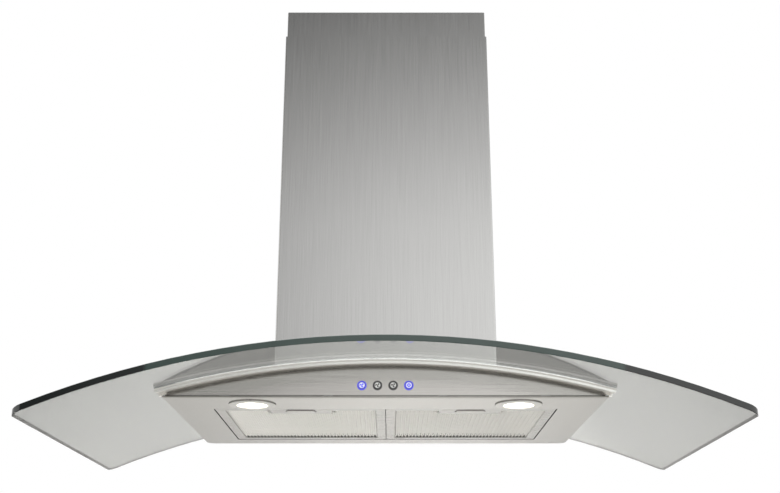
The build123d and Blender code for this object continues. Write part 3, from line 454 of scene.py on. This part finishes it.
# ------------------------------------------------------------------------------ push buttons
# Four moulded caps slide in rings of smoked plastic. Each has a symbol printed in its dish: fans
# for the speeds and a diamond for the lamps. The first fan and the diamond are lit from behind.
button_dish_radius = 0.0037
button_rim_band, band_in, band_out = node_group(
    "button_rim_band",
    [
        ("Position", "vector", None),
        ("Centre", "vector", (0, 0, 0)),
        ("Inner Radius", "float", button_dish_radius),
    ],
    [("Mask", "float"), ("Cloud", "float")],
)
band_flat = button_rim_band.nodes.new("ShaderNodeVectorMath")
band_flat.operation = "MULTIPLY"
band_flat.inputs[1].default_value = (1.0, 0.0, 1.0)
button_rim_band.links.new(band_in.outputs["Position"], band_flat.inputs[0])
band_reach = button_rim_band.nodes.new("ShaderNodeVectorMath")
band_reach.operation = "DISTANCE"
button_rim_band.links.new(band_flat.outputs[0], band_reach.inputs[0])
button_rim_band.links.new(band_in.outputs["Centre"], band_reach.inputs[1])
past_dish = math_node(
    button_rim_band, "SUBTRACT", band_reach.outputs["Value"], band_in.outputs["Inner Radius"]
)
band_mask = remap(button_rim_band, past_dish, 0.0, 0.0002, 0.0, 1.0)
band_cloud = noise(button_rim_band, band_in.outputs["Position"], 900.0)
button_rim_band.links.new(band_mask, band_out.inputs["Mask"])
button_rim_band.links.new(band_cloud, band_out.inputs["Cloud"])


def button_cap(name, centre, lit):
    """Cap with a pale dish inside a dark band; on a lit one both glow."""
    made, tree, shader = finish(name, (0.6, 0.6, 0.6), 0.0, 0.3, coat_weight=0.6, coat_roughness=0.1)
    band = place_group(tree, button_rim_band, centre=(centre.x, 0.0, centre.z))
    pale = mix_colour(tree, band.outputs["Cloud"], (0.72, 0.72, 0.72), (0.84, 0.84, 0.83))
    dark = (0.03, 0.03, 0.12) if lit else (0.035, 0.035, 0.035)
    tree.links.new(mix_colour(tree, band.outputs["Mask"], pale, dark), shader.inputs["Base Color"])
    if lit:
        glow = mix_colour(tree, band.outputs["Cloud"], (0.22, 0.24, 0.50), (0.34, 0.36, 0.60))
        rim = (0.04, 0.04, 0.60)
        tree.links.new(mix_colour(tree, band.outputs["Mask"], glow, rim), shader.inputs["Emission Color"])
        shader.inputs["Emission Strength"].default_value = 0.7
    return made


def ink(name, colour, glow):
    """Printed ink; a glow above nothing is light coming through it."""
    made, tree, shader = finish(name, colour, 0.0, 0.35)
    where = tree.nodes.new("ShaderNodeTexCoord")
    cloud = noise(tree, where.outputs["Object"], 2500.0)
    deeper = tuple(0.6 * c for c in colour)
    tree.links.new(mix_colour(tree, cloud, deeper, colour), shader.inputs["Base Color"])
    if glow:
        tree.links.new(mix_colour(tree, cloud, deeper, colour), shader.inputs["Emission Color"])
        shader.inputs["Emission Strength"].default_value = glow
    return made


dark_ink = ink("dark_ink", (0.012, 0.012, 0.014), 0.0)
blue_ink = ink("blue_ink", (0.02, 0.02, 0.80), 1.0)
ink_thickness = 0.00012
dish_depth = 0.00035
blade_middle = 0.0018
blade_half_length = 0.0014
blade_half_width = 0.00115
blade_lean = 0.9
first_blade_turn = 0.4
hub_radius = 0.0006
diamond_reach = 0.0030
diamond_hole = 0.5


def fan_outlines():
    """Three curved blades round a hub, as closed outlines in the plane of the dish."""
    outlines = []
    blade_tip = blade_middle + blade_half_length
    for turn in range(3):
        swing = 2 * math.pi * turn / 3 + first_blade_turn
        blade = []
        for i in range(20):
            angle = 2 * math.pi * i / 20
            along = blade_middle + blade_half_length * math.cos(angle)
            wide = blade_half_width * math.sin(angle) * (0.75 + 0.25 * math.cos(angle))
            lean = blade_lean * (along / blade_tip) ** 2 + swing
            x = along * math.cos(lean) - wide * math.sin(lean)
            z = along * math.sin(lean) + wide * math.cos(lean)
            blade.append((x, z))
        outlines.append(blade)
    turns = [math.pi * i / 8 for i in range(16)]
    outlines.append([(hub_radius * math.cos(turn), hub_radius * math.sin(turn)) for turn in turns])
    return outlines


def diamond_outlines():
    """Four bars that make a diamond-shaped ring."""
    reach = diamond_reach
    corners = [(reach, 0), (0, reach), (-reach, 0), (0, -reach)]
    inner = [(x * diamond_hole, z * diamond_hole) for x, z in corners]
    return [[corners[i], corners[(i + 1) % 4], inner[(i + 1) % 4], inner[i]] for i in range(4)]


def print_symbol(name, outlines, centre, front, material, body):
    """Symbol of thin raised ink on a button's dish."""
    mesh = bmesh.new()
    for outline in outlines:
        near = [mesh.verts.new((centre.x + x, front - ink_thickness, centre.z + z)) for x, z in outline]
        far = [mesh.verts.new((centre.x + x, front + ink_thickness, centre.z + z)) for x, z in outline]
        count = len(outline)
        mesh.faces.new(near)
        mesh.faces.new(far[::-1])
        for i in range(count):
            mesh.faces.new((near[i], far[i], far[(i + 1) % count], near[(i + 1) % count]))
    bmesh.ops.remove_doubles(mesh, verts=mesh.verts, dist=1e-7)
    bmesh.ops.recalc_face_normals(mesh, faces=mesh.faces)
    data = bpy.data.meshes.new(name)
    mesh.to_mesh(data)
    mesh.free()
    data.materials.append(material)
    made = bpy.data.objects.new(name, data)
    bpy.context.scene.collection.objects.link(made)
    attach(made, body)
    return made


# The rings round the caps are smoked plastic; those of the two lit buttons pass blue light.
smoked_ring, smoked_tree, smoked_shader = finish(
    "smoked_ring", (0.03, 0.03, 0.035), 0.0, 0.2, coat_weight=0.8
)
smoked_where = smoked_tree.nodes.new("ShaderNodeTexCoord")
smoked_parts = smoked_tree.nodes.new("ShaderNodeSeparateXYZ")
smoked_tree.links.new(smoked_where.outputs["Object"], smoked_parts.inputs[0])
ring_low, ring_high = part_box("button_bezels")
ring_middle = (ring_low.x + ring_high.x) / 2
row_reach = (ring_high.x - ring_low.x) / 2
past_middle = math_node(smoked_tree, "SUBTRACT", smoked_parts.outputs[0], ring_middle)
from_middle = math_node(smoked_tree, "ABSOLUTE", past_middle)
lit_ring = remap(smoked_tree, from_middle, 0.55 * row_reach, 0.57 * row_reach, 0.0, 1.0)
ring_cloud = noise(smoked_tree, smoked_where.outputs["Object"], 700.0)
ring_dark = mix_colour(smoked_tree, ring_cloud, (0.030, 0.030, 0.032), (0.060, 0.060, 0.062))
ring_tone = mix_colour(smoked_tree, lit_ring, ring_dark, (0.02, 0.02, 0.20))
ring_glow = mix_colour(smoked_tree, lit_ring, (0.0, 0.0, 0.0), (0.06, 0.06, 0.62))
smoked_tree.links.new(ring_tone, smoked_shader.inputs["Base Color"])
smoked_tree.links.new(ring_glow, smoked_shader.inputs["Emission Color"])
smoked_shader.inputs["Emission Strength"].default_value = 1.0
dress(smoked_ring, "button_bezels")

for label, lit in (("speed_1", True), ("speed_2", False), ("speed_3", False), ("light", True)):
    button = f"{label}_button"
    low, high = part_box(button)
    dress(button_cap(f"{label}_cap", (low + high) / 2, lit), button)
    symbol = print_symbol(
        f"{label}_symbol",
        diamond_outlines() if label == "light" else fan_outlines(),
        (low + high) / 2,
        low.y + dish_depth,
        blue_ink if lit else dark_ink,
        button,
    )

# ---------------------------------------------------------------------------- grease filters
# Each filter is a folded aluminium frame round layers of expanded aluminium mesh. The sheet
# is slit and stretched into long diamonds, whose tilted strands catch the light in stripes. A
# row of drain slots runs along the rear edge.
frame_metal = brushed("frame_metal", across, (0.50, 0.49, 0.475), (0.43, 0.42, 0.405), 0.20, 0.32)
dress(frame_metal, "left_filter_frame", "right_filter_frame")
latch_metal = brushed("latch_metal", across, (0.58, 0.565, 0.545), (0.51, 0.495, 0.475), 0.18, 0.28)
dress(latch_metal, "left_latch", "right_latch")
mesh_metal = brushed(
    "mesh_metal", (500.0, 60.0, 500.0), (0.88, 0.87, 0.84), (0.82, 0.81, 0.78), 0.26, 0.34, 0.000004
)

strand_pitch = 0.0033
strand_width = 0.0019
strand_gauge = 0.0005
strand_tilt = math.radians(14)
diamond_length = 0.009
sheet_edge = 0.0012
slot_length = 0.024
slot_pitch = 0.0053
slot_bar = 0.0021
slot_lap = 0.0005
lower_sheet_inset = 0.0006
upper_sheet_inset = 0.0007
pleat_floor = 0.0016
pleat_ceiling = 0.0026
pleat_gauge = 0.0004
pocket_half_width = 0.0433
pocket_depth = 0.0352


def expanded_layer(mesh, x_range, y_range, z, hole, phase):
    """Zigzag strands that touch by turns; `hole` is the latch pocket's (x, y) box, left open."""
    swing = (strand_pitch - strand_width) / 2 + 0.0001
    count = int((x_range[1] - x_range[0]) / strand_pitch)
    start = (x_range[0] + x_range[1] - (count - 1) * strand_pitch) / 2
    half = (strand_width / 2 * math.cos(strand_tilt), strand_width / 2 * math.sin(strand_tilt))
    thick = (strand_gauge / 2 * math.sin(strand_tilt), strand_gauge / 2 * math.cos(strand_tilt))
    section = [
        (-half[0] + thick[0], -half[1] - thick[1]),
        (half[0] + thick[0], half[1] - thick[1]),
        (half[0] - thick[0], half[1] + thick[1]),
        (-half[0] - thick[0], -half[1] + thick[1]),
    ]
    for strand in range(count):
        middle = start + strand * strand_pitch
        y_start = y_range[0]
        if hole[0][0] - strand_pitch < middle < hole[0][1] + strand_pitch:
            y_start = hole[1]
        steps = round((y_range[1] - y_start) / (diamond_length / 2))
        rings = []
        for i in range(steps + 1):
            side = 1 if (i + strand + phase) % 2 else -1
            x = middle + side * swing
            y = y_range[1] - (y_range[1] - y_start) * i / steps
            rings.append([mesh.verts.new((x + dx, y, z + dz)) for dx, dz in section])
        for a, b in zip(rings, rings[1:]):
            for k in range(4):
                mesh.faces.new((a[k], a[(k + 1) % 4], b[(k + 1) % 4], b[k]))
        mesh.faces.new(rings[0][::-1])
        mesh.faces.new(rings[-1])


def pleated_layer(mesh, x_range, y_range, z_range, hole, pitch, thickness):
    """Corrugated sheet behind the mesh, its pleats running front to back."""
    count = int((x_range[1] - x_range[0]) / pitch)
    step = (x_range[1] - x_range[0]) / (2 * count)
    spans = [(x_range, (hole[1], y_range[1]))]
    for x_low, x_high in ((x_range[0], hole[0][0]), (hole[0][1], x_range[1])):
        spans.append(((x_low, x_high), (y_range[0], hole[1])))
    for (x_low, x_high), (y_low, y_high) in spans:
        first = math.ceil((x_low - x_range[0]) / step - 1e-6)
        last = math.floor((x_high - x_range[0]) / step + 1e-6)
        rows = []
        for i in range(first, last + 1):
            x = x_range[0] + i * step
            z = z_range[i % 2]
            section = ((y_low, 0), (y_high, 0), (y_high, thickness), (y_low, thickness))
            rows.append([mesh.verts.new((x, y, z + dz)) for y, dz in section])
        for a, b in zip(rows, rows[1:]):
            for k in range(4):
                mesh.faces.new((a[k], b[k], b[(k + 1) % 4], a[(k + 1) % 4]))
        mesh.faces.new(rows[0])
        mesh.faces.new(rows[-1][::-1])


def slotted_edge(mesh, x_range, y_range, z):
    """Row of bars that leave drain slots between them, along the rear edge of the mesh."""
    count = int((x_range[1] - x_range[0] - slot_bar) / slot_pitch)
    start = (x_range[0] + x_range[1] - count * slot_pitch) / 2
    for i in range(count + 1):
        x_low = start + i * slot_pitch - slot_bar / 2
        x_high = start + i * slot_pitch + slot_bar / 2
        corners = [
            mesh.verts.new((x, y, height))
            for height in (z - strand_gauge / 2, z + strand_gauge / 2)
            for x, y in ((x_low, y_range[0]), (x_high, y_range[0]), (x_high, y_range[1]), (x_low, y_range[1]))
        ]
        mesh.faces.new(corners[3::-1])
        mesh.faces.new(corners[4:])
        for k in range(4):
            mesh.faces.new((corners[k], corners[(k + 1) % 4], corners[4 + (k + 1) % 4], corners[4 + k]))


for side in ("left", "right"):
    low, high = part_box(f"{side}_filter_mesh")
    latch_low, latch_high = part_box(f"{side}_latch")
    middle = (latch_low.x + latch_high.x) / 2
    pocket = ((middle - pocket_half_width, middle + pocket_half_width), low.y + pocket_depth)
    edge_x = (low.x + sheet_edge, high.x - sheet_edge)
    edge_y = (low.y + sheet_edge, high.y - sheet_edge)
    mesh = bmesh.new()
    slot_start = edge_y[1] - slot_length
    expanded_layer(mesh, edge_x, (edge_y[0], slot_start), low.z + lower_sheet_inset, pocket, 0)
    expanded_layer(mesh, edge_x, (edge_y[0], slot_start), high.z - upper_sheet_inset, pocket, 1)
    slotted_edge(mesh, edge_x, (slot_start - slot_lap, edge_y[1]), low.z + lower_sheet_inset)
    pleated_layer(
        mesh,
        edge_x,
        (edge_y[0], slot_start),
        (low.z + pleat_floor, high.z - pleat_ceiling),
        pocket,
        2 * strand_pitch,
        pleat_gauge,
    )
    bmesh.ops.recalc_face_normals(mesh, faces=mesh.faces)
    data = bpy.data.meshes.new(f"{side}_expanded_mesh")
    mesh.to_mesh(data)
    mesh.free()
    data.materials.append(mesh_metal)
    pack = bpy.data.objects.new(f"{side}_expanded_mesh", data)
    bpy.context.scene.collection.objects.link(pack)
    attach(pack, f"{side}_filter")
    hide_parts(f"{side}_filter_mesh")

# --------------------------------------------------------------------------- chimney covers
# Two covers of stainless steel slide one inside the other. They are brushed along their
# length, and hang round the blower down to a hair above the glass.
upward = (900.0, 900.0, 10.0)
cover_steel = brushed("cover_steel", upward, (0.50, 0.50, 0.496), (0.44, 0.44, 0.436), 0.14, 0.22)
dress(cover_steel, "chimney_lower", "chimney_upper")

# ------------------------------------------------------------------------------------ studio
# A pale floor that fades to white, a white background, a grey card behind the hood and broad
# soft light, brightest low in front and to the right and falling off upwards.
floor_drop = 0.75
floor_radius = 7.0
fade_start = 4.4
fade_end = 6.8
floor_mesh = bmesh.new()
bmesh.ops.create_circle(floor_mesh, cap_ends=True, segments=96, radius=floor_radius)
floor_data = bpy.data.meshes.new("studio_floor")
floor_mesh.to_mesh(floor_data)
floor_mesh.free()
floor_paint, floor_tree, floor_shader = finish("floor_paint", (0.815, 0.805, 0.775), 0.0, 0.6)
floor_where = floor_tree.nodes.new("ShaderNodeTexCoord")
floor_reach = floor_tree.nodes.new("ShaderNodeVectorMath")
floor_reach.operation = "LENGTH"
floor_tree.links.new(floor_where.outputs["Object"], floor_reach.inputs[0])
floor_fade = remap(floor_tree, floor_reach.outputs["Value"], fade_start, fade_end, 0.0, 1.0)
floor_cloud = noise(floor_tree, floor_where.outputs["Object"], 2.0)
floor_tone = mix_colour(floor_tree, floor_cloud, (0.805, 0.795, 0.765), (0.825, 0.815, 0.785))
floor_near = mix_colour(floor_tree, floor_fade, floor_tone, (0.0, 0.0, 0.0))
floor_far = mix_colour(floor_tree, floor_fade, (0.0, 0.0, 0.0), (1.0, 1.0, 1.0))
floor_tree.links.new(floor_near, floor_shader.inputs["Base Color"])
floor_tree.links.new(floor_far, floor_shader.inputs["Emission Color"])
floor_shader.inputs["Emission Strength"].default_value = 1.0
floor_shader.inputs["Specular IOR Level"].default_value = 0.2
# From below, the floor is left out, so that the underside of the hood can be looked at.
floor_side = floor_tree.nodes.new("ShaderNodeNewGeometry")
floor_clear = floor_tree.nodes.new("ShaderNodeBsdfTransparent")
floor_mix = floor_tree.nodes.new("ShaderNodeMixShader")
floor_tree.links.new(floor_side.outputs["Backfacing"], floor_mix.inputs[0])
floor_tree.links.new(floor_shader.outputs[0], floor_mix.inputs[1])
floor_tree.links.new(floor_clear.outputs[0], floor_mix.inputs[2])
floor_tree.links.new(floor_mix.outputs[0], floor_tree.nodes["Material Output"].inputs[0])
floor_data.materials.append(floor_paint)
floor = bpy.data.objects.new("studio_floor", floor_data)
bpy.context.scene.collection.objects.link(floor)
floor.location = (0.0, 0.0, -floor_drop)

studio = bpy.data.worlds.new("studio")
bpy.context.scene.world = studio
studio.use_nodes = True
sky = studio.node_tree
backdrop = sky.nodes["Background"]
backdrop.inputs["Color"].default_value = (1.0, 1.0, 1.0, 1.0)
backdrop.inputs["Strength"].default_value = 1.0
bpy.context.scene.view_settings.view_transform = "Standard"
around = sky.nodes.new("ShaderNodeBackground")
towards = sky.nodes.new("ShaderNodeTexCoord")
parts = sky.nodes.new("ShaderNodeSeparateXYZ")
sky.links.new(towards.outputs["Generated"], parts.inputs[0])
low_glow = remap(sky, parts.outputs[2], 0.34, 0.56, 1.50, 0.14)
overhead = remap(sky, parts.outputs[2], 0.58, 0.76, 0.0, 1.0)
rise = math_node(sky, "ADD", low_glow, overhead)
left_side = remap(sky, parts.outputs[0], -0.62, -0.45, 1.0, 0.0)
left_card = remap(sky, parts.outputs[0], -0.30, 0.00, 0.15, 0.85)
right_side = remap(sky, parts.outputs[0], 0.0, 0.30, 0.0, 0.20)
drift = math_node(sky, "MAXIMUM", left_side, math_node(sky, "ADD", left_card, right_side))
to_front = remap(sky, parts.outputs[1], -0.3, 0.3, 1.0, 0.0)
front_glow = math_node(sky, "MULTIPLY", rise, drift)
off_middle = remap(sky, math_node(sky, "ABSOLUTE", parts.outputs[0]), 0.45, 0.70, 0.0, 1.0)
above_card = remap(sky, parts.outputs[2], 0.50, 0.65, 0.0, 1.0)
back_share = remap(sky, math_node(sky, "MAXIMUM", off_middle, above_card), 0.0, 1.0, 0.15, 0.70)
back_glow = math_node(sky, "MULTIPLY", rise, back_share)
shade = sky.nodes.new("ShaderNodeMix")
sky.links.new(to_front, shade.inputs["Factor"])
sky.links.new(back_glow, shade.inputs["A"])
sky.links.new(front_glow, shade.inputs["B"])
tint = sky.nodes.new("ShaderNodeVectorMath")
tint.operation = "SCALE"
tint.inputs[0].default_value = (1.0, 0.995, 0.985)
sky.links.new(shade.outputs["Result"], tint.inputs["Scale"])
sky.links.new(tint.outputs[0], around.inputs["Color"])
around.inputs["Strength"].default_value = 1.0
eye = sky.nodes.new("ShaderNodeLightPath")
blend = sky.nodes.new("ShaderNodeMixShader")
sky.links.new(eye.outputs["Is Camera Ray"], blend.inputs[0])
sky.links.new(around.outputs[0], blend.inputs[1])
sky.links.new(backdrop.outputs[0], blend.inputs[2])
sky.links.new(blend.outputs[0], sky.nodes["World Output"].inputs[0])


def soft_box(name, place, size, power, spread=180.0):
    """Square area lamp that faces straight down; spread is its beam's angle in degrees."""
    lamp = bpy.data.lights.new(name, "AREA")
    lamp.energy = power
    lamp.size = size
    lamp.spread = math.radians(spread)
    made = bpy.data.objects.new(name, lamp)
    bpy.context.scene.collection.objects.link(made)
    made.location = place


soft_box("top_light", (0.0, -0.6, 3.2), 3.0, 60.0)
soft_box("rear_pool_light", (0.15, 3.9, 3.5), 0.5, 6.0, 32.0)
soft_box("rear_floor_light", (0.0, 2.3, 3.4), 1.6, 9.0, 50.0)

lens_length = 50.3538
camera_pitch = math.radians(19.18)
camera_distance = 1.297
camera_drop = 0.2829
camera_side = 0.0061
camera = bpy.data.objects.new("camera", bpy.data.cameras.new("camera"))
bpy.context.scene.collection.objects.link(camera)
camera.data.sensor_width = 36.0
camera.data.lens = lens_length
camera.location = (camera_side, cad_low.y - camera_distance, -camera_drop)
camera.rotation_euler = (math.radians(90) + camera_pitch, 0.0, 0.0)
camera.data.clip_start = 0.05
camera.data.clip_end = 60.0
bpy.context.scene.camera = camera
